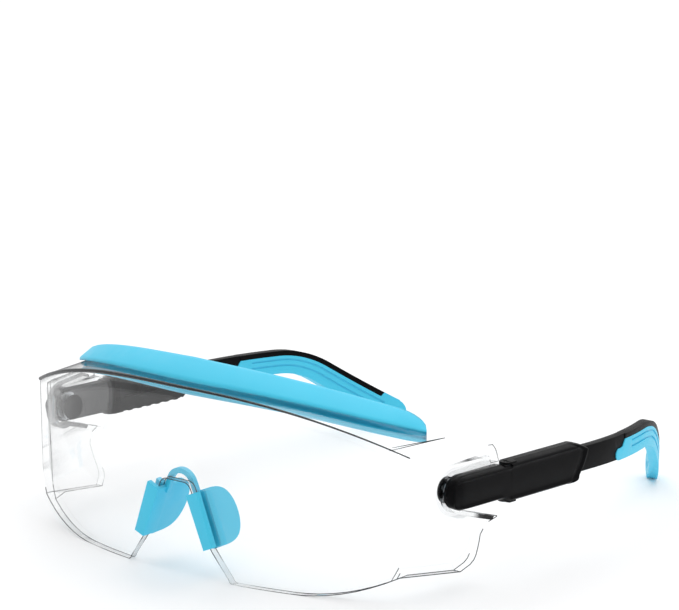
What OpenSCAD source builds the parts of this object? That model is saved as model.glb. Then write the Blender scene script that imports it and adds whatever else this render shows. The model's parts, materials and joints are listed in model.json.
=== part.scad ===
// Over-glasses safety spectacles: a one-piece clear shell, a soft brow guard and nose piece,
// and two temples that tilt on the side shields, fold inward and telescope.
// Millimetres, +Z up. The front faces -Y, the temples point to +Y, and the origin is the
// bottom centre of the whole object. Every shape is drawn with y = 0 at the lens crown and
// moved back by half the depth at the end.

/* [Lens shell] */
// Radius of the lens front, seen from above
front_r = 157; // [150:1:165]
// Wall thickness
lens_t = 2.2; // [2.0:0.1:2.4]
// Half width where the side shield starts
corner_x = 76.1; // [75.6:0.1:76.6]
// Distance of that corner behind the crown
corner_y = 19.2; // [18.5:0.1:20]
// Outward flare of the side shields, in degrees
flare = 10.9; // [10:0.1:11.5]
// Radius of the upright edge between front and shield
corner_r = 6; // [4.5:0.5:7]
// Height of the front's top edge at the middle
brow_z = 58.5; // [57:0.5:60]
// Drop of that edge from the middle to the corners
brow_drop = 13.9; // [13:0.1:15]
// Backward rise of the top shelf, in degrees
shelf_slope = 3; // [2:0.5:4]
// Depth of the top shelf at the middle
shelf_depth = 7.5; // [7:0.5:8]

/* [Nose notch] */
// Height of the notch above the table
notch_z = 28.9; // [28:0.1:30]
// Radius of the notch's upper corners
notch_r = 3; // [2.5:0.5:3.5]

/* [Temples] */
// Distance of the tilt pivot behind the crown
pivot_y = 34.8; // [34.5:0.1:35.2]
// Height of the tilt pivot
pivot_z = 31.6; // [31.4:0.1:31.8]
// Downward slope of the temples at rest, in degrees
temple_drop = 2.8; // [2.6:0.1:3]
// Distance from the tilt pivot to the fold pin
fold_u = 21.9; // [21.8:0.1:22.3]
// Height of the hinge cover
cover_h = 10.4; // [10:0.1:10.6]
// Height of the sleeve
sleeve_h = 12; // [11.8:0.1:12.2]
// Height of the sliding arm
arm_h = 7.6; // [7.2:0.1:7.8]
// Thickness of the arm's blade
arm_t = 2.6; // [2.4:0.1:2.6]
// Thickness of the soft tip
tip_t = 3.2; // [3.1:0.1:3.4]
// Downward bend of the tip, in degrees
tip_bend = 34.4; // [33:0.2:36]
// Radius of the lanyard hole
lanyard_r = 1.2; // [1:0.1:1.4]

/* [Hidden] */
middle_y = 86.92;           // half way between the nose piece's front and the temple tips
big = 200;                  // longer than anything here, for cutting blocks
smooth = 180;               // segments of a large round face
sky = [0.31, 0.80, 0.95];
coal = [0.10, 0.10, 0.11];
steel = [0.75, 0.76, 0.78];

// Shield: the side line leans out by flare_m per unit of depth.
flare_m = tan(flare);
// The lower part of a shield curves in below lean_z on this radius.
lean_r = 52;
lean_z = 28.5;
// Round edge between shelf and shield.
shoulder_r = 6;
shoulder_z = 40.4;
shield_hem = 9.1;           // height of the shields' hem, taken at 10 mm behind the crown
hem_slope = 0.15;           // its fall per millimetre behind that
// The shelf's rear edge is an arc through the middle and the shields' rear corners.
shelf_r = 102.75;

// Hinge stack, as distances from the middle plane.
floor_in = 76.4;            // pocket floor, inner face
floor_out = 78.2;           // pocket floor, outer face
face_gap = 0.05;            // play between the faces that turn on each other
washer_t = 0.5;
plate_in = floor_out + face_gap + washer_t;
cover_in = 80.3;
ridge_x = 83.1;             // outer face of a cover at its two ridges
valley_x = 82.7;            // between the ridges and the bulge
bulge_x = 83.3;             // at the middle
rivet_r = 2.4;
rivet_gap = 0.05;           // running clearance of the rivet in the shield's bore
rivet_head_r = 4;
rivet_head_t = 1;
washer_r = 4.6;
pocket_r = 6.1;             // clear radius round the hinge cover's front end
pocket_wall = 1.3;
pocket_rise = 3;            // height of the pocket wall above the shield
pocket_low = 18;            // slope of the pocket's lower arm, in degrees
pocket_end = 18.9;          // reach of the pocket floor behind the pivot
wall_end = 15;              // reach of the pocket walls behind the pivot

// Fold hinge.
fold_x = 80.9;
knuckle_r = 2;
pin_r = 0.8;
pin_gap = 0.05;             // running clearance of the pin in the sleeve's lugs
tongue_h = 5;               // height of the middle knuckle
lug_gap = 0.1;              // play between the knuckles
cover_end = fold_u - 3;     // rear end of the hinge cover
body_u = fold_u + 2.6;      // front end of the sleeve between its lugs

// Sleeve and arm, in the temple's own frame.
sleeve_in = 78.55;
sleeve_low = -6.3;
arm_x = 80.75;              // middle plane of the arm's blade
slide_gap = 0.1;
slot_low = -1.6;            // open slot on the sleeve's inner side
slot_high = 2.4;
rack_pitch = 4.4;
rack_r = 1.8;
arm_start = 35.5;           // front end of the arm
leaf_len = 9;
leaf_t = 0.35;

// Arm outline: straight, then bent down, then straight to the round end.
bend_u = 99;
bend_r = 28;
end_r = 4.45;               // radius of the round end, which rests on the table
tip_low = -4.1;
lobe_u = 79.5;              // centre of the round lobe at the tip's front end
lobe_v = -2.2;
spine_v = 2.1;              // the black spine starts this far above the middle line
spine_t = 3;
core_t = 1.2;
core_low = -2;
curl_u = 66;                // start of the inward curl
curl_r = 110;
bend_len = bend_r * tip_bend * PI / 180;
bend_drop = sin(temple_drop) * (bend_u + bend_r * sin(tip_bend))
    + cos(temple_drop) * bend_r * (1 - cos(tip_bend));
end_len = (pivot_z - end_r - 0.22 - bend_drop) / sin(temple_drop + tip_bend);
end_s = bend_u + bend_len + end_len;
spine_s = end_s - 7;        // the spine and the core end here, measured along the arm
core_u = 80;                // the core starts here, inside the tip's lobe

// Brow guard.
guard_half = 69;            // half length
guard_gap = 0.15;           // clearance round the shelf's edge

// Nose piece.
edge_top = [6.17, 27.06];   // upper end of the notch's straight side
edge_low = [13.6, 9.3];
edge_lean = atan((edge_low[0] - edge_top[0]) / (edge_top[1] - edge_low[1]));
grip_t = 1.4;               // thickness of the flange in front of and behind the lens
grip_w = 3.5;               // width of the flange over the lens, at its top
grip_top = -1.3;            // top of the flange, along the edge from its upper end
web_t = 1.2;
pad_t = 1.6;
pad_depth = 13;
pad_splay = 2;
arch_z = 26.35;             // centre of the arch that joins the two sides
arch_leg = 1;               // distance of the arch's legs from the notch's edge
arch_rod = 0.85;
arch_r = edge_top[0] * cos(edge_lean) - (arch_z - edge_top[1]) * sin(edge_lean) - arch_leg;

// Height of the front's top edge at distance x from the middle.
function brow_edge(x) = brow_z - brow_drop * pow(abs(x) / 75.1, 2.5);
// Distance of the lens front behind the crown.
function front_y(x) = front_r - sqrt(front_r * front_r - x * x);
// Distance of the shelf's rear edge behind the crown.
function shelf_y(x) = shelf_depth + shelf_r - sqrt(shelf_r * shelf_r - x * x);
// Height of the shelf's top face over the crown line, before its backward rise.
function shelf_base(x) = brow_edge(x) - tan(shelf_slope) * front_y(x);
// Height of the lens's bottom edge.
function hem_z(x) = abs(x) < 40 ? 0 : 9.2 * pow((abs(x) - 40) / 34, 2.1);

// Centre of the upright corner round, inside the front and the side line by corner_r.
side_a = corner_x - flare_m * corner_y - corner_r / cos(flare);
quad_a = 1 + flare_m * flare_m;
quad_b = 2 * (side_a * flare_m - front_r);
quad_c = side_a * side_a + front_r * front_r - pow(front_r - corner_r, 2);
corner_cy = (-quad_b - sqrt(quad_b * quad_b - 4 * quad_a * quad_c)) / (2 * quad_a);
corner_cx = side_a + flare_m * corner_cy;
corner_dir = [corner_cx, corner_cy - front_r] / (front_r - corner_r);

module placed() {
    translate([0, -middle_y, 0]) children();
}

// Draws the children on the wearer's left (+X) for side 1 and mirrors them for side -1.
module on_side(side) {
    mirror([side < 0 ? 1 : 0, 0, 0]) children();
}

// Local frame of a temple: y along it from the tilt pivot, z across it.
module temple_frame() {
    translate([0, pivot_y, pivot_z]) rotate([-temple_drop, 0, 0]) children();
}

// A flat outline in depth and height, from x_low to x_high.
module plate_x(x_low, x_high) {
    translate([x_low, 0, 0]) rotate([90, 0, 90]) linear_extrude(x_high - x_low) children();
}

// A cylinder along X.
module rod_x(r, x_low, x_high) {
    translate([x_low, 0, 0]) rotate([0, 90, 0]) cylinder(r = r, h = x_high - x_low, $fn = 96);
}

// ---------------------------------------------------------------- lens shell

// Plan outline of the shell, set in by d.
module plan(d) {
    arc_pt = [0, front_r] + corner_dir * (front_r - d);
    side_pt = [corner_cx, corner_cy] + (corner_r - d) * [cos(flare), -sin(flare)];
    rear = side_pt + 60 * [sin(flare), cos(flare)];
    intersection() {
        translate([0, front_r]) circle(r = front_r - d, $fn = 2 * smooth);
        translate([-arc_pt[0], -1]) square([2 * arc_pt[0], arc_pt[1] + 1]);
    }
    polygon([
        [-arc_pt[0], arc_pt[1]], arc_pt, [corner_cx, corner_cy], side_pt, rear,
        [-rear[0], rear[1]], [-side_pt[0], side_pt[1]], [-corner_cx, corner_cy],
    ]);
    for (s = [-1, 1])
        translate([s * corner_cx, corner_cy]) circle(r = corner_r - d, $fn = smooth);
}

// Everything under the shelf's top face, lowered by d.
module under_shelf(d) {
    steps = 24;
    rotate([shelf_slope, 0, 0])
    translate([0, big / 2, 0]) rotate([90, 0, 0]) linear_extrude(big)
        polygon(concat(
            [[-88, -20]],
            [for (i = [-steps:steps]) let (x = 88 * i / steps) [x, shelf_base(x) - d]],
            [[88, -20]]
        ));
}

// Everything inside one shield's face, set in by d: round at the shoulder, leaning in below.
module inside_shield(d) {
    nominal = corner_x - flare_m * corner_y;
    translate([nominal, 0, 0]) rotate([0, 0, -flare])
    translate([0, big, 0]) rotate([90, 0, 0]) linear_extrude(big * 1.5) {
        translate([-big, -20]) square([big - lean_r, 100]);
        translate([-lean_r - 1, lean_z]) square([lean_r + 1 - d, shoulder_z - lean_z]);
        translate([-lean_r - 1, lean_z]) square([lean_r + 1 - shoulder_r, 60]);
        intersection() {
            translate([-lean_r, lean_z]) circle(r = lean_r - d, $fn = 2 * smooth);
            translate([-lean_r - 1, lean_z - 40]) square([lean_r + 1, 40.01]);
        }
        translate([-shoulder_r, shoulder_z]) circle(r = shoulder_r - d, $fn = smooth);
    }
}

module hood(d) {
    intersection() {
        translate([0, 0, -10]) linear_extrude(90) plan(d);
        under_shelf(d);
        inside_shield(d);
        mirror([1, 0, 0]) inside_shield(d);
    }
}

// Points of an arc round centre c from angle a0 to a1.
function arc(c, r, a0, a1, steps) =
    [for (i = [0:steps]) let (a = a0 + (a1 - a0) * i / steps) c + r * [cos(a), sin(a)]];

// Mirrors a list of outline points across the middle and reverses it.
function mirrored(points) =
    [for (i = [len(points) - 1:-1:0]) [-points[i][0], points[i][1]]];

// Everything under the hem, and the nose notch. The hem is a curve in the front view, up to
// where the shields' own straight hem passes under it.
module under_hem() {
    half = concat(
        arc([3.4, notch_z - notch_r], notch_r, 90, edge_lean, 8),
        [edge_low, [19.6, 1.5]],
        arc([21.5, 2], 2, 230, 270, 4),
        [for (x = [40:4:88]) [x, hem_z(x)]],
        [[88, -30]]
    );
    intersection() {
        rotate([90, 0, 0]) translate([0, 0, -big]) linear_extrude(2 * big)
            polygon(concat(half, mirrored(half)));
        plate_x(-100, 100) polygon([
            [-10, -20], [-10, 60], [10, 60], [10, shield_hem], [60, shield_hem - 50 * hem_slope],
            [60, -20],
        ]);
    }
}

// Side outline behind the shields' rear edge.
module rear_cut() {
    plate_x(-100, 100) polygon([
        [150, 90], [44, 90], [44.3, 47.4], [46.4, 46.4], [47.9, 45.3], [49.4, 43.7],
        [50.4, 41.6], [51.4, 38.2], [51.4, 20.6], [47.4, 19.3], [46, 16], [46.7, 9],
        [46.6, 7.4], [45.9, 6.1], [44.6, 5.2], [42, 3.4], [42, -15], [150, -15],
    ]);
}

// The pocket's outline in depth and height, grown by d, ending at reach behind the pivot.
module pocket_outline(d, reach) {
    r = pocket_r + d;
    low = [-sin(pocket_low), -cos(pocket_low)] * (r - 1);
    low_end = low + [cos(pocket_low), -sin(pocket_low)] * (reach + 4);
    intersection() {
        union() {
            circle(r = r, $fn = smooth);
            polygon([[0, r], [reach + 4, r], low_end, low, [0, 0]]);
        }
        circle(r = reach, $fn = smooth);
    }
}

// A pocket for one temple's hinge: floor, U-shaped wall open to the rear, and rivet boss.
module pocket() {
    translate([0, pivot_y, pivot_z])
        plate_x(floor_in, floor_out) pocket_outline(0.6, pocket_end);
    intersection() {
        translate([0, pivot_y, pivot_z]) difference() {
            plate_x(floor_in, 90) pocket_outline(pocket_wall, wall_end);
            plate_x(0, 100) pocket_outline(0, big);
        }
        translate([corner_x - flare_m * corner_y + pocket_rise, 0, 0]) rotate([0, 0, -flare])
            translate([-50, -50, 0]) cube([50, 150, 80]);
    }
}

module lens() {
    color([0.85, 0.93, 0.96, 0.4]) placed() difference() {
        union() {
            difference() {
                hood(0);
                translate([0, 0.01, -0.01]) hood(lens_t);
                under_hem();
                rear_cut();
                intersection() {
                    translate([0, shelf_depth + shelf_r, 36])
                        cylinder(r = shelf_r, h = 60, $fn = 2 * smooth);
                    translate([-78, 0, 36]) cube([156, 100, 60]);
                }
                for (s = [-1, 1]) on_side(s) translate([0, pivot_y, pivot_z])
                    plate_x(floor_out, 100) pocket_outline(0, big);
            }
            for (s = [-1, 1]) on_side(s) pocket();
        }
        for (s = [-1, 1]) on_side(s) translate([0, pivot_y, pivot_z]) {
            rod_x(rivet_r + rivet_gap, floor_in - 5, floor_out + 1);
            rod_x(rivet_head_r + 0.4, floor_in - 5, floor_in);
        }
    }
}

// ---------------------------------------------------------------- brow guard

// Height left of the guard's upper lip at distance x from the middle: 1 at the middle.
function guard_rise(x) =
    (1 - 0.3 * abs(x) / 64)
    * (abs(x) < 63 ? 1 : sqrt(max(0.04, 1 - pow((abs(x) - 63) / (guard_half - 62.9), 2))));

// Depth left of the lips.
function guard_reach(x) = abs(x) < 50 ? 1 : 1 - 0.65 * pow((abs(x) - 50) / (guard_half - 50), 2);

// Section round the shelf's edge as [forward, up] points, from the slot's upper front corner.
function guard_section(up, out) = let (g = guard_gap, low = -lens_t - g) [
    [3.9 * out, g], [4 * out, 0.5 + 0.4 * up], [3.4 * out, 0.6 + up],
    [-1.4, 0.6 + 5.1 * up], [-2.4, 0.6 + 5.5 * up], [-3.3 * out, 0.6 + 5 * up],
    [-3.7 * out, 0.6 + 3.6 * up], [-3.4 * out, low - 0.8 * up],
    [-2.6 * out, low - 0.3 - 1.7 * up], [2.4 * out, low - 0.3 - 1.7 * up],
    [3.1 * out, low - 0.2 - 0.9 * up], [3.1 * out, low], [-g, low], [-g, g],
];

// One station of the guard, across the shelf's edge at distance x from the middle.
function guard_ring(x) =
    let (
        y = shelf_y(x),
        z = shelf_base(x) + tan(shelf_slope) * y,
        ahead = [x / shelf_r, -sqrt(1 - pow(x / shelf_r, 2))]
    )
    [for (p = guard_section(guard_rise(x), guard_reach(x)))
        [x + p[0] * ahead[0], y + p[0] * ahead[1], z + p[1]]];

module brow_guard() {
    steps = 23;
    rings = [for (i = [-steps:steps]) guard_ring(guard_half * sin(90 * i / steps))];
    n = len(rings[0]);
    last = len(rings) - 1;
    color(sky) placed() polyhedron(
        points = [for (ring = rings) for (p = ring) p],
        faces = concat(
            [[for (k = [0:n - 1]) n - 1 - k]],
            [for (i = [0:last - 1]) for (k = [0:n - 1])
                [i * n + k, i * n + (k + 1) % n, (i + 1) * n + (k + 1) % n, (i + 1) * n + k]],
            [[for (k = [0:n - 1]) last * n + k]]
        ),
        convexity = 6
    );
}

// ---------------------------------------------------------------- nose piece

// Local frame on the notch's straight side: z up along it, x across it into the lens.
module notch_frame() {
    translate([edge_top[0], 0, edge_top[1]]) rotate([0, -edge_lean, 0]) children();
}

// One side of the nose piece: a channel on the notch's edge and a pad behind it.
module nose_side() {
    grip_low = -18.6;
    slot_x = -0.15;
    difference() {
        notch_frame() union() {
            translate([0, lens_t + grip_t + 0.8, 0]) rotate([90, 0, 0])
                linear_extrude(lens_t + 2 * grip_t + 0.8) polygon([
                    [-web_t, grip_low], [grip_w - 1, grip_low], [grip_w, grip_top], [-web_t, grip_top]]);
            translate([-0.2, lens_t + 0.6, 0]) rotate([0, 0, -pad_splay]) plate_x(-pad_t / 2, pad_t / 2)
                polygon([for (a = [-90:7.5:90]) [pad_depth * pow(cos(a), 0.46), -10 + 9 * sin(a)]]);
        }
        intersection() {
            difference() {
                translate([0, front_r, 0]) cylinder(r = front_r + 0.05, h = 40, $fn = 2 * smooth);
                translate([0, front_r, -1]) cylinder(r = front_r - lens_t - 0.05, h = 42, $fn = 2 * smooth);
            }
            notch_frame() translate([slot_x, -5, -30]) cube([20, 20, 60]);
        }
    }
}

// Foot of one of the arch's legs, off from its middle line.
function arch_foot(off) = edge_top
    + (off - arch_leg) * [cos(edge_lean), sin(edge_lean)]
    + (grip_top - 2) * [-sin(edge_lean), cos(edge_lean)];

// Front outline of the arch, with legs along the notch's edges.
module arch_outline() {
    far = 180 - edge_lean;
    polygon(concat(
        [arch_foot(arch_rod)],
        arc([0, arch_z], arch_r + arch_rod, edge_lean, far, 24),
        mirrored([arch_foot(-arch_rod), arch_foot(arch_rod)]),
        arc([0, arch_z], arch_r - arch_rod, far, edge_lean, 24),
        [arch_foot(-arch_rod)]
    ));
}

module nose_piece() {
    color(sky) placed() union() {
        for (s = [-1, 1]) on_side(s) nose_side();
        translate([0, lens_t + 0.35 + 2 * arch_rod, 0]) rotate([90, 0, 0])
            linear_extrude(2 * arch_rod) arch_outline();
    }
}

// ---------------------------------------------------------------- hinge

// Black rivet that holds the hinge on the shield and turns in the shield's bore.
module pivot_rivet(side) {
    head = floor_in - face_gap;
    color(coal) placed() on_side(side) temple_frame() union() {
        rod_x(rivet_r, head, cover_in);
        rod_x(rivet_head_r, head - rivet_head_t, head);
    }
}

// Ring with a notched rim that gives the tilt its clicks.
module click_washer(side) {
    color(steel) placed() on_side(side) temple_frame() difference() {
        rod_x(washer_r, floor_out + face_gap, plate_in);
        rod_x(rivet_r, 0, 100);
        for (a = [0:45:315]) rotate([a, 0, 0]) translate([0, 0, washer_r + 0.2]) rod_x(0.6, 0, 100);
    }
}

// Inner plate of the hinge, with the middle knuckle of the fold at its rear end.
module hinge_plate(side) {
    bar_h = 8;
    color(coal) placed() on_side(side) temple_frame() difference() {
        union() {
            rod_x(bar_h / 2 + 0.5, plate_in, cover_in);
            translate([plate_in, 0, -bar_h / 2]) cube([cover_in - plate_in, cover_end, bar_h]);
            translate([79.2, cover_end - 2, -tongue_h / 2]) cube([cover_in - 79.2, 3, tongue_h]);
            translate([79.2, cover_end + 0.1, -tongue_h / 2])
                cube([fold_x + knuckle_r - 0.5 - 79.2, fold_u - cover_end - 0.1, tongue_h]);
            translate([fold_x, fold_u, -tongue_h / 2]) cylinder(r = knuckle_r, h = tongue_h, $fn = 96);
        }
        rod_x(rivet_r, 0, 100);
        translate([fold_x, fold_u, -tongue_h]) cylinder(r = pin_r, h = 2 * tongue_h, $fn = 96);
    }
}

// Outer face section as [x, v] points: two ridges with a bulge between them.
module lobed_section(x_in, low, high) {
    mid = (low + high) / 2;
    half = (high - low) / 2;
    polygon([
        [x_in, low], [ridge_x - 1.5, low], [ridge_x - 0.1, low + 1.3], [valley_x, low + 2.1],
        [bulge_x - 0.1, mid - 0.3 * half], [bulge_x, mid], [bulge_x - 0.1, mid + 0.3 * half],
        [valley_x, high - 2.1], [ridge_x - 0.1, high - 1.3], [ridge_x - 1.5, high], [x_in, high],
    ]);
}

// The section run along the temple from u_low to u_high.
module lobed_bar(x_in, low, high, u_low, u_high) {
    translate([0, u_high, 0]) rotate([90, 0, 0]) linear_extrude(u_high - u_low)
        lobed_section(x_in, low, high);
}

// Outer cover of the hinge, with a round front end.
module hinge_cover(side) {
    half = cover_h / 2;
    color(coal) placed() on_side(side) temple_frame() intersection() {
        lobed_bar(cover_in, -half, half, -half, cover_end);
        union() {
            rod_x(half, 70, 90);
            translate([70, 0, -half]) cube([20, cover_end, cover_h]);
        }
    }
}

// Steel pin of the fold hinge.
module fold_pin(side) {
    top = sleeve_low + sleeve_h - 0.6;
    low = sleeve_low + 0.6;
    color(steel) placed() on_side(side) temple_frame()
        translate([fold_x, fold_u, low]) cylinder(r = pin_r, h = top - low, $fn = 96);
}

// ---------------------------------------------------------------- sleeve and arm

// Side outline of the sleeve in depth and height, with a pointed rear end.
module sleeve_outline() {
    high = sleeve_low + sleeve_h;
    end = 55.1;
    polygon([
        [fold_u, sleeve_low], [end - 1, sleeve_low], [end + 0.6, sleeve_low + 0.6],
        [end + 2.2, -4], [end + 6.1, 3], [end + 5.3, 3.8], [end + 1, high - 0.2],
        [end, high], [fold_u, high],
    ]);
}

// Outer housing of the temple: two hinge lugs and a channel that the arm slides in.
module sleeve(side) {
    high = sleeve_low + sleeve_h;
    lug_z = tongue_h / 2 + lug_gap;
    half_x = arm_t / 2 + slide_gap;
    half_v = arm_h / 2 + slide_gap;
    color(coal) placed() on_side(side) temple_frame() difference() {
        union() {
            intersection() {
                lobed_bar(sleeve_in, sleeve_low, high, fold_u, 70);
                plate_x(70, 90) sleeve_outline();
            }
            translate([fold_x, fold_u, sleeve_low]) cylinder(r = 2.1, h = sleeve_h, $fn = 96);
        }
        translate([70, 0, -lug_z]) cube([20, body_u, 2 * lug_z]);
        translate([arm_x - half_x, body_u + 2, -half_v]) cube([2 * half_x, 60, 2 * half_v]);
        translate([70, body_u + 2, slot_low]) cube([arm_x - 70, 60, slot_high - slot_low]);
        translate([fold_x, fold_u, -10]) cylinder(r = pin_r + pin_gap, h = 20, $fn = 96);
        for (i = [0:6]) translate([0, body_u + 3 + rack_pitch * i, 0]) {
            translate([0, 0, sleeve_low - rack_r + 0.6]) rod_x(rack_r, 70, sleeve_in + 0.75);
            translate([0, 0, -half_v]) rod_x(0.6, arm_x - half_x, arm_x + half_x);
        }
    }
}

// Point at length s along the arm's middle line and height v over it.
function station(s, v) =
    s <= bend_u ? [s, v]
    : let (a = min(tip_bend, (s - bend_u) / bend_r * 180 / PI), d = max(0, s - bend_u - bend_len))
        [bend_u + (bend_r + v) * sin(a) + d * cos(a), -bend_r + (bend_r + v) * cos(a) - d * sin(a)];

// The line at height v over the middle line, from length s_low to s_high.
function run(s_low, s_high, v) = concat(
    [station(s_low, v)],
    [for (i = [0:12]) let (s = bend_u + bend_len * i / 12) if (s > s_low && s < s_high) station(s, v)],
    [station(s_high, v)]
);
function reversed(p) = [for (i = [len(p) - 1:-1:0]) p[i]];

// Front edge of the soft tip, from the round lobe's angle a up to the spine.
function tip_front(a) = concat(
    arc([lobe_u, lobe_v], 1.9, a, 70, 10),
    [[lobe_u + 2.2, -0.1], [lobe_u + 3.8, spine_v]]
);

// End of the arm's middle line, and the angle of the curl there.
end_point = station(end_s, 0);
curl_end = asin((end_point[0] - curl_u) / curl_r);

// Plan of the arm: straight, then curled inward, t thick.
module curl(t) {
    centre = [arm_x - curl_r, curl_u];
    high = curl_end + 9;
    polygon(concat(
        [[arm_x - t / 2, 0], [arm_x + t / 2, 0]],
        arc(centre, curl_r + t / 2, 0, high, 26),
        arc(centre, curl_r - t / 2, high, 0, 26)
    ));
}

// A side outline cut from the arm's curled plan, t thick.
module curled(t) {
    intersection() {
        plate_x(0, 100) children();
        translate([0, 0, -60]) linear_extrude(120) curl(t);
    }
}

// Frame at the middle of the arm's round end: z along the hole, x along the curl.
module end_frame() {
    translate([arm_x - curl_r + curl_r * cos(curl_end), end_point[0], end_point[1]])
        rotate([0, 0, curl_end]) rotate([90, 0, 90]) children();
}

// Black arm: the blade in the sleeve, the spine along the tip, and a thin core inside the tip.
module arm(side) {
    half = arm_h / 2;
    lobe_low = 180 + asin((half + lobe_v) / 1.9);
    color(coal) placed() on_side(side) temple_frame() union() {
        difference() {
            curled(arm_t) polygon(concat(
                [[arm_start, half], [arm_start, -half]],
                tip_front(lobe_low),
                [[lobe_u + 10, spine_v], [lobe_u + 10, half]]
            ));
            translate([70, arm_start - 1, -half - 1]) cube([20, leaf_len + 1, 1 + 1.3]);
            leaf_bar();
        }
        curled(spine_t) polygon(concat(
            run(lobe_u + 3.4, spine_s, half), reversed(run(lobe_u + 3.8, spine_s, spine_v))));
        curled(core_t) polygon(concat(
            run(core_u, spine_s, spine_v + 1), reversed(run(core_u, spine_s, core_low))));
    }
}

// The leaf's flat strip, whose rear end is held in a slot in the blade.
module leaf_bar() {
    translate([arm_x - 0.9, arm_start + 0.2, -arm_h / 2 + 0.8]) cube([1.8, leaf_len + 1.8, leaf_t]);
}

// Spring leaf under the arm's front end, whose round nose runs over the sleeve's notches.
module detent_leaf(side) {
    color(steel) placed() on_side(side) temple_frame() union() {
        leaf_bar();
        translate([0, arm_start + 0.8, -arm_h / 2 + 0.6]) rod_x(0.5, arm_x - 0.9, arm_x + 0.9);
    }
}

// Soft overmould on the arm's end, with two grooves on each face and a lanyard hole.
module tip(side) {
    groove_depth = 0.4;
    long = end_s + 12;
    lean = atan(tan(tip_bend) * cos(curl_end));
    color(sky) placed() on_side(side) temple_frame() difference() {
        curled(tip_t) polygon(concat(
            tip_front(270),
            run(lobe_u + 4, spine_s, spine_v),
            [station(spine_s, arm_h / 2), station(long, arm_h / 2)],
            reversed(run(lobe_u + 0.2, long, tip_low))
        ));
        end_frame() rotate(-lean) translate([0, 0, -20]) linear_extrude(40) polygon(concat(
            [[0, 14], [0, end_r]],
            arc([0, 0], end_r, 84, -84, 24),
            [[0, -end_r], [0, -14], [30, -14], [30, 14]]
        ));
        end_frame() cylinder(r = lanyard_r, h = 20, center = true, $fn = 96);
        curled(core_t) polygon(concat(
            run(core_u, spine_s, spine_v + 1), reversed(run(core_u, spine_s, core_low))));
        for (v = [-1.5, 0.5]) difference() {
            curled(tip_t + 1) polygon(concat(
                run(lobe_u + 8.5, end_s - 5, v + 0.6),
                reversed(run(lobe_u + 8.5, end_s - 5, v))));
            translate([0, 0, -60]) linear_extrude(120) curl(tip_t - 2 * groove_depth);
        }
    }
}

lens();
brow_guard();
nose_piece();
pivot_rivet(1);  // left_pivot_rivet
click_washer(1);  // left_click_washer
hinge_plate(1);  // left_hinge_plate
hinge_cover(1);  // left_hinge_cover
fold_pin(1);  // left_fold_pin
sleeve(1);  // left_sleeve
detent_leaf(1);  // left_detent_leaf
arm(1);  // left_arm
tip(1);  // left_tip
pivot_rivet(-1);  // right_pivot_rivet
click_washer(-1);  // right_click_washer
hinge_plate(-1);  // right_hinge_plate
hinge_cover(-1);  // right_hinge_cover
fold_pin(-1);  // right_fold_pin
sleeve(-1);  // right_sleeve
detent_leaf(-1);  // right_detent_leaf
arm(-1);  // right_arm
tip(-1);  // right_tip
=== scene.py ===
"""Over-glasses safety spectacles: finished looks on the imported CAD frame.

Metres, in the CAD's row frame. Lengths written in millimetres are multiplied by MM.
"""

import json
import math

import bmesh
import bpy
from mathutils import Matrix, Vector


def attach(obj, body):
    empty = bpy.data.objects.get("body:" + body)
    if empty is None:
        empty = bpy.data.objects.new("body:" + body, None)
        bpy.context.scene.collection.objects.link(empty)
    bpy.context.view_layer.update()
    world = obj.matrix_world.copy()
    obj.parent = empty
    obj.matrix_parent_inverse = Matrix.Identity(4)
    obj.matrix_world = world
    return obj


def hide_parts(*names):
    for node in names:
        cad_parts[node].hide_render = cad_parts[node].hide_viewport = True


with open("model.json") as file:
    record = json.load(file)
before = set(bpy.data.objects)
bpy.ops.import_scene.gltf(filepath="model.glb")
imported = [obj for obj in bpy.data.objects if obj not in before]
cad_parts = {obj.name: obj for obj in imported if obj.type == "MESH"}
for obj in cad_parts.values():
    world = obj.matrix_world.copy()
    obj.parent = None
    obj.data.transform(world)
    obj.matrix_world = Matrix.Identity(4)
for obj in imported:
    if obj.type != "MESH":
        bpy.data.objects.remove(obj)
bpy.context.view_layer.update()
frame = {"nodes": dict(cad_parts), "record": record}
BODY_OF = {n: body for body, names in frame["record"]["behaviour"]["bodies"].items() for n in names}

# Places on the CAD model, in millimetres. Depth is measured backward from the crown, the
# front's foremost line, and the origin lies BACK behind it.
MM = 0.001
BACK = 86.92
FRONT_R = 157.0        # radius of the front's curve, seen from above
BROW_TOP = 58.5        # height of the brow edge in the middle
BROW_FALL = 13.9       # how far it falls to the corners
BROW_HALF = 75.1       # X of the corners
SHIELD_X = 76.1        # outer face of a side shield at the depth SHIELD_DEPTH
SHIELD_DEPTH = 19.2
SHIELD_FLARE = 0.1926  # how fast the shield widens with depth
LOWER_R = 52.0         # the shield leans in below LOWER_TOP on this radius
LOWER_TOP = 28.5
UPPER_R = 6.0          # and above UPPER_FOOT on this one
UPPER_FOOT = 40.4
NOTCH_HALF = 22.0      # X and height that hold the nose notch
NOTCH_TOP = 30.0
DROP = math.radians(2.8)
PIVOT = (34.8, 31.6)   # depth and height of the tilt pivot
FOLD = 21.9            # distance of the fold pin behind it


# ------------------------------------------------------------------ node helpers


def new_material(name):
    mat = bpy.data.materials.new(name)
    mat.use_nodes = True
    mat.node_tree.nodes.clear()
    return mat, mat.node_tree


def node(tree, kind, **values):
    made = tree.nodes.new(kind)
    for key, value in values.items():
        setattr(made, key, value)
    return made


def wire(tree, source, target):
    tree.links.new(source, target)


def math_node(tree, operation, a, b=None, c=None, clamp=False):
    made = node(tree, "ShaderNodeMath", operation=operation, use_clamp=clamp)
    for i, value in enumerate((a, b, c)):
        if value is None:
            continue
        if isinstance(value, (int, float)):
            made.inputs[i].default_value = value
        else:
            wire(tree, value, made.inputs[i])
    return made.outputs[0]


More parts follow.
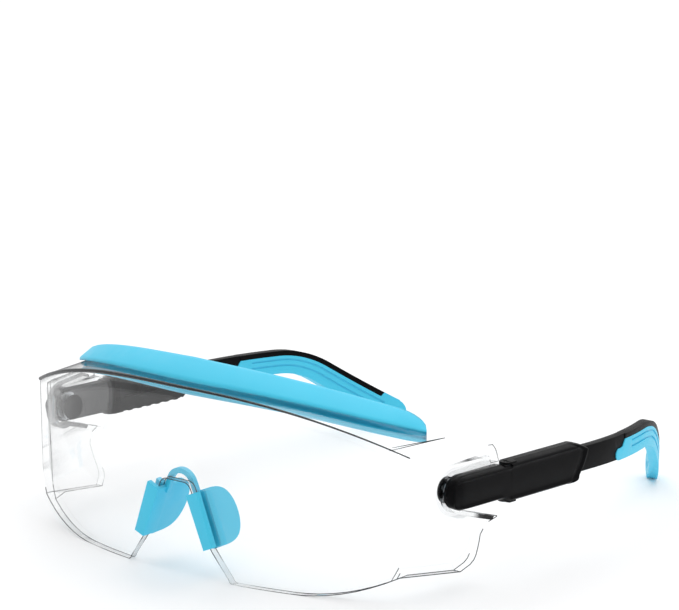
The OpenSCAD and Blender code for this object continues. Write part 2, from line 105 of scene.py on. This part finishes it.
def object_mm(tree):
    """X, Y (behind the crown) and Z in millimetres, from the object's own coordinates."""
    coords = node(tree, "ShaderNodeTexCoord")
    split = node(tree, "ShaderNodeSeparateXYZ")
    wire(tree, coords.outputs["Object"], split.inputs[0])
    x = math_node(tree, "MULTIPLY", split.outputs[0], 1000.0)
    y = math_node(tree, "MULTIPLY_ADD", split.outputs[1], 1000.0, BACK)
    z = math_node(tree, "MULTIPLY", split.outputs[2], 1000.0)
    return x, y, z, coords.outputs["Object"]


def noise(tree, vector, scale, detail=3.0, roughness=0.5):
    made = node(tree, "ShaderNodeTexNoise")
    made.inputs["Scale"].default_value = scale
    made.inputs["Detail"].default_value = detail
    made.inputs["Roughness"].default_value = roughness
    wire(tree, vector, made.inputs["Vector"])
    return made.outputs["Fac"]


def ramp(tree, value, low, high, out_low, out_high):
    made = node(tree, "ShaderNodeMapRange")
    made.clamp = True
    ends = {"From Min": low, "From Max": high, "To Min": out_low, "To Max": out_high}
    for name, number in ends.items():
        made.inputs[name].default_value = number
    wire(tree, value, made.inputs["Value"])
    return made.outputs["Result"]


def bump(tree, height, distance, strength=1.0):
    made = node(tree, "ShaderNodeBump")
    made.inputs["Strength"].default_value = strength
    made.inputs["Distance"].default_value = distance
    wire(tree, height, made.inputs["Height"])
    return made.outputs["Normal"]


def mix_colour(tree, factor, a, b):
    made = node(tree, "ShaderNodeMix", data_type="RGBA")
    wire(tree, factor, made.inputs["Factor"])
    made.inputs["A"].default_value = (*a, 1)
    made.inputs["B"].default_value = (*b, 1)
    return made.outputs["Result"]


def moulded(name, colour, darker, rough, grain_scale, grain_depth, specular=0.5):
    """A moulded plastic or rubber: slow tone variation, uneven gloss and a fine grain."""
    mat, tree = new_material(name)
    out = node(tree, "ShaderNodeOutputMaterial")
    shader = node(tree, "ShaderNodeBsdfPrincipled")
    coords = node(tree, "ShaderNodeTexCoord")
    where = coords.outputs["Object"]
    tone = noise(tree, where, 60.0, 2.0)
    wire(tree, mix_colour(tree, tone, darker, colour), shader.inputs["Base Color"])
    gloss = noise(tree, where, 220.0, 4.0, 0.6)
    wire(tree, ramp(tree, gloss, 0.3, 0.7, rough - 0.05, rough + 0.06), shader.inputs["Roughness"])
    grain = noise(tree, where, grain_scale, 3.0, 0.6)
    wire(tree, bump(tree, grain, grain_depth), shader.inputs["Normal"])
    shader.inputs["Specular IOR Level"].default_value = specular
    wire(tree, shader.outputs[0], out.inputs["Surface"])
    return mat


def steel_material():
    """Brushed steel: fine lines across the object's X."""
    mat, tree = new_material("steel_brushed")
    out = node(tree, "ShaderNodeOutputMaterial")
    shader = node(tree, "ShaderNodeBsdfPrincipled")
    coords = node(tree, "ShaderNodeTexCoord")
    stretch = node(tree, "ShaderNodeMapping")
    stretch.inputs["Scale"].default_value = (60.0, 2500.0, 2500.0)
    wire(tree, coords.outputs["Object"], stretch.inputs["Vector"])
    lines = noise(tree, stretch.outputs[0], 1.0, 3.0)
    tone = mix_colour(tree, lines, (0.50, 0.51, 0.53), (0.68, 0.69, 0.71))
    wire(tree, tone, shader.inputs["Base Color"])
    wire(tree, ramp(tree, lines, 0.3, 0.7, 0.25, 0.4), shader.inputs["Roughness"])
    wire(tree, bump(tree, lines, 0.00002), shader.inputs["Normal"])
    shader.inputs["Metallic"].default_value = 1.0
    wire(tree, shader.outputs[0], out.inputs["Surface"])
    return mat


def clear_material(name, tint, slant_tint_and_shade, shine, edge_power):
    """Clear polycarbonate: more mirror and a deeper tint where light passes it aslant.

    The deeper tint is partly the longer path through the plastic and partly painted shade,
    and the mirror darkens there as painted shade: together they draw the edges' dark outline.
    shine is the mirror's share face on, and edge_power how narrow the deeper tint is.
    """
    mat, tree = new_material(name)
    out = node(tree, "ShaderNodeOutputMaterial")
    layer = node(tree, "ShaderNodeLayerWeight")
    layer.inputs["Blend"].default_value = 0.5
    away = layer.outputs["Facing"]
    schlick = math_node(tree, "POWER", away, 5.0)
    mirror = math_node(tree, "MULTIPLY_ADD", schlick, 1.0 - shine, shine, clamp=True)
    # Deeper tint at a slant: partly the longer path through the plastic, partly painted shade for
    # the edges' dark outline.
    rim = math_node(tree, "POWER", away, edge_power)
    through = node(tree, "ShaderNodeBsdfTransparent")
    wire(tree, mix_colour(tree, rim, tint, slant_tint_and_shade), through.inputs["Color"])
    gloss = node(tree, "ShaderNodeBsdfGlossy")
    # Painted shade: the mirror's colour darkens to near black at a slant, drawing a dark outline.
    grazing = math_node(tree, "POWER", away, 9.0)
    wire(tree, mix_colour(tree, grazing, (1, 1, 1), OUTLINE_SHADE), gloss.inputs["Color"])
    coords = node(tree, "ShaderNodeTexCoord")
    haze = noise(tree, coords.outputs["Object"], 90.0, 3.0)
    wire(tree, ramp(tree, haze, 0.3, 0.7, 0.02, 0.05), gloss.inputs["Roughness"])
    mixed = node(tree, "ShaderNodeMixShader")
    wire(tree, mirror, mixed.inputs["Fac"])
    wire(tree, through.outputs[0], mixed.inputs[1])
    wire(tree, gloss.outputs[0], mixed.inputs[2])
    wire(tree, mixed.outputs[0], out.inputs["Surface"])
    return mat


def see_through(tree, share, colour, shine, where, specular):
    """Ends a material: a glossy body colour over share of the light, and the rest let through."""
    body = node(tree, "ShaderNodeBsdfPrincipled")
    wire(tree, colour, body.inputs["Base Color"])
    gloss = noise(tree, where, 300.0, 2.0)
    wire(tree, ramp(tree, gloss, 0.3, 0.7, *shine), body.inputs["Roughness"])
    body.inputs["Specular IOR Level"].default_value = specular
    through = node(tree, "ShaderNodeBsdfTransparent")
    mixed = node(tree, "ShaderNodeMixShader")
    wire(tree, share, mixed.inputs["Fac"])
    wire(tree, through.outputs[0], mixed.inputs[1])
    wire(tree, body.outputs[0], mixed.inputs[2])
    wire(tree, mixed.outputs[0], node(tree, "ShaderNodeOutputMaterial").inputs["Surface"])


def wall_material(grey, dark, right_share=0.80, left_share=0.10, arm_share=0.88):
    """Rim of the pocket's wall, in painted shade: grey on the right shield, dark along the left's
    lower arm.
    """
    mat, tree = new_material("pocket_wall_painted_shade")
    x, y, z, where = object_mm(tree)
    # Where the painted shade goes: all of the right shield, and on the left mostly the lower arm at
    # the back.
    left = ramp(tree, x, -20.0, 20.0, 0.0, 1.0)
    low = ramp(tree, z, 24.8, 26.2, 1.0, 0.0)
    back = ramp(tree, y, 38.5, 41.0, 0.0, 1.0)
    arm = math_node(tree, "MULTIPLY", low, back)
    near = math_node(tree, "MULTIPLY_ADD", arm, arm_share, left_share)
    share = node(tree, "ShaderNodeMix", data_type="FLOAT")
    wire(tree, left, share.inputs[0])
    share.inputs[2].default_value = right_share
    wire(tree, near, share.inputs[3])
    # Painted shade: grey towards the right shield, near black towards the left.
    tone = mix_colour(tree, left, grey, dark)
    see_through(tree, share.outputs[0], tone, (0.15, 0.35), where, 0.2)
    return mat


def edge_material(name, dark, far, broken):
    """Painted shade: the dark line that light trapped in the wall leaves along a clear part's
    edges.

    far is its paler colour towards the right, painted where that side is seen through the shell,
    and broken how far the gaps in it clear.
    """
    mat, tree = new_material(name)
    x, y, z, where = object_mm(tree)
    # Painted: the dark line pales towards the right, where that side is seen through the shell.
    tone = mix_colour(tree, ramp(tree, x, -70.0, 40.0, 0.0, 1.0), far, dark)
    patches = noise(tree, where, 38.0, 3.0, 0.6)
    share = ramp(tree, patches, 0.40, 0.56, 1.0 - broken, 1.0)
    see_through(tree, share, tone, (0.12, 0.3), where, 0.3)
    return mat


# ------------------------------------------------------------------ materials

# Painted shade: the near black that the clear parts' mirror darkens to at a slant.
OUTLINE_SHADE = (0.02, 0.022, 0.025)
SKY = moulded("sky_soft_rubber", (0.052, 0.60, 0.84), (0.045, 0.55, 0.79), rough=0.42,
              grain_scale=9000.0, grain_depth=0.00002)
BLACK = moulded("black_nylon", (0.0035, 0.0035, 0.004), (0.0025, 0.0025, 0.003), rough=0.36,
                grain_scale=7000.0, grain_depth=0.00003, specular=0.05)
STEEL = steel_material()
# The clear shell: its deeper tint at a slant is partly painted shade, for the dark outline of its
# edges.
CLEAR = clear_material("clear_polycarbonate", (0.996, 0.998, 0.998), (0.14, 0.15, 0.16),
                       shine=0.045, edge_power=8.0)
# Cut faces of the nose notch: the grey tint, darker at a slant, is painted shade for how the cut
# edges look dark.
CUT_EDGE_SHADE = clear_material("clear_cut_edge_painted_shade", (0.86, 0.88, 0.89), (0.35, 0.37, 0.38), shine=0.06,
                     edge_power=2.0)
# Painted shade: the pocket walls' rims are grey on the right shield and black along the left's
# lower arm, though both walls are alike.
WALL_SHADE = wall_material((0.20, 0.20, 0.205), (0.012, 0.012, 0.013))
# Painted shade: dark lines along the shell's edges and under the brow, paler towards the right,
# where that side is seen through the shell.
EDGE_SHADE = edge_material("painted_edge_shade", (0.03, 0.032, 0.035), (0.10, 0.10, 0.105), broken=0.85)
BROW = edge_material("painted_brow_shade", (0.008, 0.009, 0.01), (0.03, 0.032, 0.034), broken=0.0)


# ------------------------------------------------------------------ pieces

JOIN = 2e-6                # corners closer than this, in metres, are one
FLAT = math.radians(0.6)   # facets that turn less than this are merged
SHARP = math.radians(32)   # edges that turn more than this are rounded
CREASE = math.radians(30)  # the shell's edges that turn more than this can carry a line


def cleaned(name):
    """A CAD node's mesh as a bmesh, with its corners joined and its flat facets merged."""
    bm = bmesh.new()
    bm.from_mesh(frame["nodes"][name].data)
    bmesh.ops.remove_doubles(bm, verts=bm.verts, dist=JOIN)
    bmesh.ops.dissolve_limit(bm, angle_limit=FLAT, verts=bm.verts, edges=bm.edges)
    return bm


def shaded(mesh, mats, angle):
    """Gives a mesh its materials, and smooth shading that breaks at edges over angle degrees."""
    for mat in mats:
        mesh.materials.append(mat)
    for face in mesh.polygons:
        face.use_smooth = True
    mesh.set_sharp_from_angle(angle=math.radians(angle))


def softened(name, width, mats, segments=2, smooth=38.0):
    """A finished copy of a CAD node: sharp edges rounded over width, and smooth shading."""
    mesh = bpy.data.meshes.new(name + "_finished")
    bm = cleaned(name)
    if width > 0:
        sharp = [e for e in bm.edges if len(e.link_faces) == 2 and e.calc_face_angle(0) > SHARP]
        bmesh.ops.bevel(bm, geom=sharp, offset=width * MM, segments=segments, profile=0.5,
                        affect="EDGES", clamp_overlap=True)
    bm.normal_update()
    bm.to_mesh(mesh)
    bm.free()
    shaded(mesh, mats, smooth)
    piece = bpy.data.objects.new(name + "_finished", mesh)
    bpy.context.scene.collection.objects.link(piece)
    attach(piece, BODY_OF[name])
    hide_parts(name)
    return piece


def tube(points, radius, sides=6):
    """Vertices and faces of a tube along points; radius is a function of a point."""
    verts, faces = [], []
    last = len(points) - 1
    for i, p in enumerate(points):
        along = (points[min(i + 1, last)] - points[max(i - 1, 0)]).normalized()
        out = (out - along * out.dot(along) if i else along.orthogonal()).normalized()
        over = along.cross(out)
        r = radius(p)
        for k in range(sides):
            turn = 2 * math.pi * k / sides
            verts.append(p + r * (math.cos(turn) * out + math.sin(turn) * over))
        if i:
            base = (i - 1) * sides
            for k in range(sides):
                after = (k + 1) % sides
                faces.append((base + k, base + after, base + sides + after, base + sides + k))
    faces.append(tuple(reversed(range(sides))))
    faces.append(tuple(range(last * sides, (last + 1) * sides)))
    return verts, faces


def chains(edges):
    """Joins edges end to end into lists of points."""
    links = {}
    for e in edges:
        for v in e.verts:
            links.setdefault(v, []).append(e)
    left = set(edges)
    found = []
    starts = [v for v in links if len(links[v]) != 2] + list(links)
    for start in starts:
        for first in links[start]:
            if first not in left:
                continue
            left.discard(first)
            here = first.other_vert(start)
            line = [start, here]
            while len(links[here]) == 2:
                following = [e for e in links[here] if e in left]
                if not following:
                    break
                left.discard(following[0])
                here = following[0].other_vert(here)
                line.append(here)
            found.append([v.co.copy() for v in line])
    return found


def finished(name, verts, faces, mat, body, angle=40.0):
    """A finished piece of its own from vertices and faces."""
    mesh = bpy.data.meshes.new(name)
    mesh.from_pydata([tuple(v) for v in verts], [], faces)
    shaded(mesh, (mat,), angle)
    piece = bpy.data.objects.new(name, mesh)
    bpy.context.scene.collection.objects.link(piece)
    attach(piece, body)
    return piece


def brow_edge(x):
    """Height of the shell's brow edge."""
    return BROW_TOP - BROW_FALL * (abs(x) / BROW_HALF) ** 2.5


def front_depth(x):
    """Depth of the shell's front, behind the crown."""
    return FRONT_R - math.sqrt(FRONT_R ** 2 - x * x)


def shield_face(depth):
    """X of a side shield's outer face, where it stands upright."""
    return SHIELD_X + (depth - SHIELD_DEPTH) * SHIELD_FLARE


def shield_lean(height):
    """How far the outer face leans in from there at a height."""
    below = max(0.0, LOWER_TOP - height)
    above = max(0.0, height - UPPER_FOOT)
    return (LOWER_R - math.sqrt(LOWER_R ** 2 - below ** 2)
            + UPPER_R - math.sqrt(max(0.0, UPPER_R ** 2 - above ** 2)))


def carries_line(edge):
    """Whether a painted dark line of shade runs along an edge of the shell: its rim, notch and rear
    edges do.
    """
    if len(edge.link_faces) != 2 or edge.calc_face_angle(0) < CREASE:
        return False
    middle = (edge.verts[0].co + edge.verts[1].co) / 2 / MM
    depth, across, height = middle.y + BACK, abs(middle.x), middle.z
    if height > 9.5 and depth > 8:
        # shields: only the outer rear edge, and nothing of the hinge pocket
        pocket = depth < 48 and 18 < height < 46 and abs(across - 79) < 8
        outer = abs(shield_face(depth) - shield_lean(height) - across) <= 0.5
        return depth >= 24 and height <= 47.6 and outer and not pocket
    return height <= 40


def place(x, y, z):
    """A point in metres from millimetres, with y measured behind the crown."""
    return Vector((x, y - BACK, z)) * MM


def clear_shell():
    """The shell, with its pocket walls' rims and its notch's cut edges in their own materials of
    painted shade.
    """
    lens = softened("lens", 0.0, (CLEAR, CUT_EDGE_SHADE, WALL_SHADE), smooth=28.0)
    for face in lens.data.polygons:
        centre = face.center / MM
        across, depth, height = abs(centre.x), centre.y + BACK, centre.z
        # Painted shade goes on the pocket walls' rims and on the notch's cut faces.
        if across > shield_face(depth) + 0.6 and 22 < depth < 53 and 16 < height < 46:
            face.material_index = 2
        elif across < NOTCH_HALF and height < NOTCH_TOP and abs(face.normal.y) < 0.3:
            face.material_index = 1


def edge_lines(radius=0.14, shortest=1.5):
    """Thin dark lines of painted shade along the shell's cut edges, as one piece."""
    shell = cleaned("lens")
    verts, faces = [], []
    for line in chains([e for e in shell.edges if carries_line(e)]):
        if sum((b - a).length for a, b in zip(line, line[1:])) < shortest * MM:
            continue
        ring, skin = tube(line, lambda p: radius * MM, 5)
        faces += [tuple(i + len(verts) for i in face) for face in skin]
        verts += ring
    shell.free()
    finished("lens_painted_edge_shade", verts, faces, EDGE_SHADE, "front")


def brow_line(start=-74.6, length=149.4, steps=60):
    """The thick dark line of painted shade under the brow edge, which thins towards the left end.
    """
    edge = []
    for i in range(steps + 1):
        x = start + length * i / steps
        edge.append(place(x, front_depth(x) + 0.35, brow_edge(x) - 0.35))
    verts, faces = tube(edge, lambda p: (0.2 + 0.42 * min(1.0, (75.5 - p.x / MM) / 95)) * MM, 8)
    finished("lens_painted_brow_shade", verts, faces, BROW, "front")


clear_shell()
edge_lines()
brow_line()

# Each temple's parts, how far their edges are rounded in millimetres, and their material.
ROUNDING = (
    ("pivot_rivet", 0.25, BLACK), ("click_washer", 0.05, STEEL), ("hinge_plate", 0.15, BLACK),
    ("hinge_cover", 0.5, BLACK), ("fold_pin", 0.1, STEEL), ("sleeve", 0.3, BLACK),
    ("detent_leaf", 0.05, STEEL), ("arm", 0.2, BLACK), ("tip", 0.12, SKY),
)
for side in ("left", "right"):
    for part, width, mat in ROUNDING:
        softened(side + "_" + part, width, (mat,))
softened("brow_guard", 0.0, (SKY,), smooth=50.0)
softened("nose_piece", 0.35, (SKY,), segments=3)


# ------------------------------------------------------------------ outer panels

PANEL_X = 82.8    # base of a panel's dished face
SKIN_X = 83.0     # a panel's inner side near the fold, clear of the knuckles
COVER_X = 78.9    # and away from it, inside the cover and the sleeve
SLEEVE_X = 81.2
SEAM = 0.03       # half the gap between the two panels at the fold
COVER_LOW, COVER_HIGH = -5.15, 5.2
SLEEVE_LOW, SLEEVE_HIGH = -6.7, 5.85
SLEEVE_END = 55.1  # where the sleeve's slanted rear end starts, along the temple


def temple_point(sign, x, u, v):
    """A point in the temple's own frame: u along it from the tilt pivot, v across it."""
    depth = PIVOT[0] + u * math.cos(DROP) + v * math.sin(DROP)
    return place(sign * x, depth, PIVOT[1] - u * math.sin(DROP) + v * math.cos(DROP))


def bell(distance, width):
    return math.exp(-(distance / width) ** 2)


def outer_face(t):
    """Height of the outer face over PANEL_X at t across the bar, from -1 to 1."""
    a = abs(t)
    ridge = 0.62 * bell(a - 0.80, 0.085)
    dish = 0.34 * math.cos(min(a / 0.74, 1.0) * math.pi / 2) ** 1.4
    roll = 0.0 if a < 0.86 else ((a - 0.86) / 0.14) ** 2 * 1.9
    return 0.25 + dish + ridge - roll


def panel(side, name, body, start, end, low, high, lift, inner_x, across=40, along=64):
    """An outer panel as a closed shell of BLACK.

    start and end give its ends at t across; low, high and inner_x its edges and inner side at
    u along; lift what the face gains or loses at distances from the front and the rear end.
    """
    sign = 1 if side == "left" else -1
    outer, inner = [], []
    for i in range(along + 1):
        share = (1 - math.cos(math.pi * i / along)) / 2
        for k in range(across + 1):
            t = -1 + 2 * k / across
            u = start(t) + (end(t) - start(t)) * share
            bottom, top = low(u), high
            v = (bottom + top) / 2 + t * (top - bottom) / 2
            x = PANEL_X + outer_face(t) + lift(u - start(t), end(t) - u)
            outer.append(temple_point(sign, x, u, v))
            inner.append(temple_point(sign, inner_x(u), u, v * 0.985))
    row = across + 1
    count = len(outer)
    faces = []
    for i in range(along):
        for k in range(across):
            q = (i * row + k, i * row + k + 1, (i + 1) * row + k + 1, (i + 1) * row + k)
            faces += [q, tuple(count + n for n in reversed(q))]
    rim = [k for k in range(across)] + [i * row + across for i in range(along)]
    rim += [along * row + k for k in range(across, 0, -1)] + [i * row for i in range(along, 0, -1)]
    faces += [(b, a, count + a, count + b) for a, b in zip(rim, rim[1:] + rim[:1])]
    if sign < 0:
        faces = [tuple(reversed(q)) for q in faces]
    finished(side + "_" + name, outer + inner, faces, BLACK, body, 50.0)


def cover_front(t):
    """Front end of the cover, round in the side view."""
    return -5.3 * math.sqrt(max(0.0, 1 - t * t)) + 0.02


def cover_low(u):
    """Lower edge of the cover: inside the pocket's walls, then down to the sleeve's edge."""
    s = min(1.0, max(0.0, (u - 17.0) / (FOLD - 17.0)))
    return COVER_LOW + (SLEEVE_LOW - COVER_LOW) * s * s * (3 - 2 * s)


def cover_lift(front, rear):
    """Rounds the cover's face over at its front end."""
    soft = 0.3 * math.exp(-max(0.0, front - 1.5) / 2.0) if front < 9 else 0.0
    return -1.3 * math.exp(-front / 0.8) - soft


def sleeve_rear(t):
    """Slanted rear end of the sleeve, with its two corners cut."""
    v = -0.3 + 6.0 * t
    slant = 6.0 - max(0.0, 3 - v) * 0.56
    return SLEEVE_END + slant - max(0.0, v - 3.4) * 2.6 - max(0.0, -v - 4.6) * 1.6


def sleeve_lift(front, rear):
    """Raises a rim along the sleeve's rear end, behind a shallow groove."""
    rim, groove = 0.40 * bell(rear - 1.3, 0.7), 0.22 * bell(rear - 3.0, 0.9)
    return rim - 0.9 * math.exp(-rear / 0.35) - groove


for side in ("left", "right"):
    panel(side, "cover_panel", BODY_OF[side + "_hinge_cover"], cover_front, lambda t: FOLD - SEAM,
          cover_low, COVER_HIGH, cover_lift, lambda u: COVER_X if u < FOLD - 3.2 else SKIN_X)
    panel(side, "sleeve_panel", BODY_OF[side + "_sleeve"], lambda t: FOLD + SEAM, sleeve_rear,
          lambda u: SLEEVE_LOW, SLEEVE_HIGH, sleeve_lift,
          lambda u: SLEEVE_X if u > FOLD + 2.8 else SKIN_X)


# ------------------------------------------------------------------ stage

FLOOR_HALF = 3.0  # metres
CAMERA_AT = (0.6714, -0.81045, 0.3167)
CAMERA_LENS = 181.96                                   # on a sensor 36 mm wide
AZIMUTH, ELEVATION, ROLL = (math.radians(a) for a in (39.97, 13.38, -0.58))

world = bpy.data.worlds.new("studio")
bpy.context.scene.world = world
world.use_nodes = True
world.node_tree.nodes["Background"].inputs[0].default_value = (1, 1, 1, 1)
world.node_tree.nodes["Background"].inputs[1].default_value = 0.72

mesh = bpy.data.meshes.new("floor")
corners = [(x * FLOOR_HALF, y * FLOOR_HALF, 0) for x, y in ((-1, -1), (1, -1), (1, 1), (-1, 1))]
mesh.from_pydata(corners, [], [(0, 1, 2, 3)])
floor = bpy.data.objects.new("floor", mesh)
bpy.context.scene.collection.objects.link(floor)
floor_mat, tree = new_material("pale_floor")
shader = node(tree, "ShaderNodeBsdfPrincipled")
shader.inputs["Base Color"].default_value = (0.93, 0.93, 0.935, 1)
shader.inputs["Roughness"].default_value = 0.6
wire(tree, shader.outputs[0], node(tree, "ShaderNodeOutputMaterial").inputs["Surface"])
mesh.materials.append(floor_mat)


def lamp(light, direction, position=(0, 0, 0)):
    """Puts a light in the scene, shining along a direction."""
    made = bpy.data.objects.new(light.name, light)
    made.location = position
    made.rotation_mode = "QUATERNION"
    made.rotation_quaternion = Vector(direction).to_track_quat("-Z", "Y")
    bpy.context.scene.collection.objects.link(made)


overhead = bpy.data.lights.new("overhead", "SUN")
overhead.angle = math.radians(80)
overhead.energy = 1.5
lamp(overhead, (0.30, -0.38, -1.0))
strip = bpy.data.lights.new("strip", "AREA")
strip.shape = "SQUARE"
strip.size = 0.35
strip.energy = 1.6
strip_at, strip_target = Vector((1.1, -0.25, 0.62)), Vector((0.08, 0.04, 0.03))
lamp(strip, strip_target - strip_at, strip_at)

ahead = Vector((-math.sin(AZIMUTH) * math.cos(ELEVATION), math.cos(AZIMUTH) * math.cos(ELEVATION),
                -math.sin(ELEVATION)))
level = ahead.cross(Vector((0, 0, 1))).normalized()
upright = level.cross(ahead)
right = math.cos(ROLL) * level + math.sin(ROLL) * upright
up = math.cos(ROLL) * upright - math.sin(ROLL) * level
camera = bpy.data.objects.new("camera", bpy.data.cameras.new("camera"))
camera.data.sensor_width = 36.0
camera.data.lens = CAMERA_LENS
turned = Matrix((right, up, -ahead)).transposed().to_4x4()
camera.matrix_world = Matrix.Translation(CAMERA_AT) @ turned
camera.data.clip_start = 0.05
camera.data.clip_end = 20
bpy.context.scene.collection.objects.link(camera)
bpy.context.scene.camera = camera
bpy.context.scene.view_settings.view_transform = "Standard"
